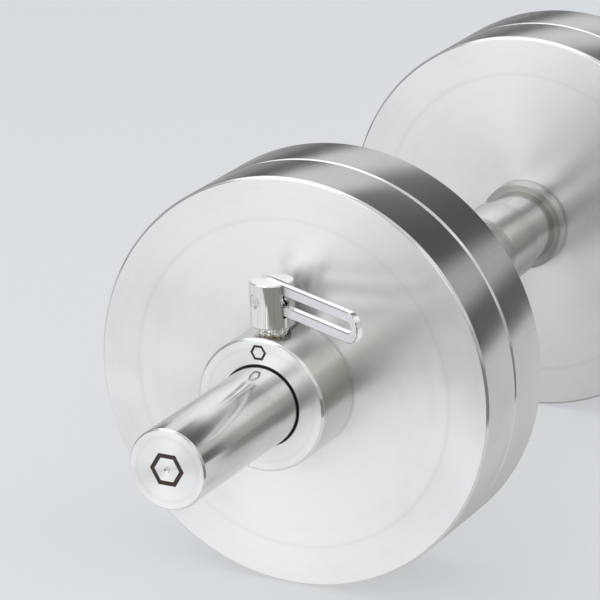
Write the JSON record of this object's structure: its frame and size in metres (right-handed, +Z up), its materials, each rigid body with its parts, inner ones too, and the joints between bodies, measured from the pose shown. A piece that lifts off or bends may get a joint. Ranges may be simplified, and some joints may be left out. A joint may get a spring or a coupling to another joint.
{
  "type": "adjustable dumbbell",
  "caption": "Adjustable dumbbell: a round bar with a central grip, flat steel discs and quick-release lever collars.",
  "frame": {"origin": "middle of the bar, on its axis", "axes": "+X along the bar, +Z up and away from the floor, with both clamp levers' hubs on the upper side"},
  "size_m": [0.4324, 0.1474, 0.1474],
  "materials": {
    "bar_steel": "ground and polished along the bar",
    "handle_steel": "polished, with a fine knurl on the grip",
    "plate_steel": "faces turned to a fine satin, rims polished",
    "collar_steel": "fine turned satin",
    "clamp_steel": "polished",
    "lever_steel": "satin faces, bright bevelled edges",
    "spring_steel": "bright drawn wire",
    "bronze": "machined bronze",
    "liner_polymer": "moulded black bushing"
  },
  "bodies": {
    "bar": {"bar": "bar_steel", "grip_sleeve": "handle_steel", "near_grip_ferrule": "handle_steel", "far_grip_ferrule": "handle_steel", "near_stop_flange": "handle_steel", "far_stop_flange": "handle_steel"},
    "near_inner_plate": {"near_inner_plate": "plate_steel"},
    "near_outer_plate": {"near_outer_plate": "plate_steel"},
    "near_collar": {"near_collar_body": "collar_steel", "near_collar_liner": "liner_polymer", "near_clamp_stud": "clamp_steel", "near_clamp_lock_ring": "clamp_steel", "near_thrust_washer": "bronze", "near_hub_snap_ring": "spring_steel", "near_return_spring": "spring_steel"},
    "near_hub": {"near_clamp_hub": "clamp_steel", "near_pivot_pin": "clamp_steel"},
    "near_lever": {"near_clamp_lever": "lever_steel"},
    "near_plunger": {"near_cam_plunger": "clamp_steel"},
    "near_pad": {"near_pressure_pad": "bronze"},
    "far_inner_plate": {"far_inner_plate": "plate_steel"},
    "far_outer_plate": {"far_outer_plate": "plate_steel"},
    "far_collar": {"far_collar_body": "collar_steel", "far_collar_liner": "liner_polymer", "far_clamp_stud": "clamp_steel", "far_clamp_lock_ring": "clamp_steel", "far_thrust_washer": "bronze", "far_hub_snap_ring": "spring_steel", "far_return_spring": "spring_steel"},
    "far_hub": {"far_clamp_hub": "clamp_steel", "far_pivot_pin": "clamp_steel"},
    "far_lever": {"far_clamp_lever": "lever_steel"},
    "far_plunger": {"far_cam_plunger": "clamp_steel"},
    "far_pad": {"far_pressure_pad": "bronze"}
  },
  "joints": [
    {"name": "near_inner_plate_slide", "type": "slide", "parent": "bar", "child": "near_inner_plate", "axis": [-1, 0, 0], "range_m": [0, 0.138]},
    {"name": "near_outer_plate_slide", "type": "slide", "parent": "near_inner_plate", "child": "near_outer_plate", "axis": [-1, 0, 0], "range_m": [0, 0.115]},
    {"name": "near_collar_slide", "type": "slide", "parent": "near_outer_plate", "child": "near_collar", "axis": [-1, 0, 0], "range_m": [0, 0.092]},
    {"name": "near_hub_swivel", "type": "hinge", "parent": "near_collar", "child": "near_hub", "pos_m": [-0.13725, 0.00102, 0.02538], "axis": [0, 0.0401, 0.9992], "range_deg": [-160, 36]},
    {"name": "near_lever_flip", "type": "hinge", "parent": "near_hub", "child": "near_lever", "pos_m": [-0.13725, 0.0014, 0.03497], "axis": [-0.8988, 0.438, -0.0176], "range_deg": [0, 90]},
    {"name": "near_plunger_lift", "type": "slide", "parent": "near_hub", "child": "near_plunger", "axis": [0, 0.0401, 0.9992], "range_m": [0, 0.0008], "deforming": ["near_return_spring"]},
    {"name": "near_pad_lift", "type": "slide", "parent": "near_collar", "child": "near_pad", "axis": [0, 0.0401, 0.9992], "range_m": [0, 0.0008]},
    {"name": "far_inner_plate_slide", "type": "slide", "parent": "bar", "child": "far_inner_plate", "axis": [1, 0, 0], "range_m": [0, 0.138]},
    {"name": "far_outer_plate_slide", "type": "slide", "parent": "far_inner_plate", "child": "far_outer_plate", "axis": [1, 0, 0], "range_m": [0, 0.115]},
    {"name": "far_collar_slide", "type": "slide", "parent": "far_outer_plate", "child": "far_collar", "axis": [1, 0, 0], "range_m": [0, 0.092]},
    {"name": "far_hub_swivel", "type": "hinge", "parent": "far_collar", "child": "far_hub", "pos_m": [0.13725, -0.00102, 0.02538], "axis": [0, -0.0401, 0.9992], "range_deg": [-160, 36]},
    {"name": "far_lever_flip", "type": "hinge", "parent": "far_hub", "child": "far_lever", "pos_m": [0.13725, -0.0014, 0.03497], "axis": [0.8988, -0.438, -0.0176], "range_deg": [0, 90]},
    {"name": "far_plunger_lift", "type": "slide", "parent": "far_hub", "child": "far_plunger", "axis": [0, -0.0401, 0.9992], "range_m": [0, 0.0008], "deforming": ["far_return_spring"]},
    {"name": "far_pad_lift", "type": "slide", "parent": "far_collar", "child": "far_pad", "axis": [0, -0.0401, 0.9992], "range_m": [0, 0.0008]}
  ],
  "couplings": [
    {"joint": "near_plunger_lift", "follows": "near_lever_flip", "m_per_rad": 0.000509},
    {"joint": "near_pad_lift", "follows": "near_lever_flip", "m_per_rad": 0.000509},
    {"joint": "far_plunger_lift", "follows": "far_lever_flip", "m_per_rad": 0.000509},
    {"joint": "far_pad_lift", "follows": "far_lever_flip", "m_per_rad": 0.000509}
  ]
}
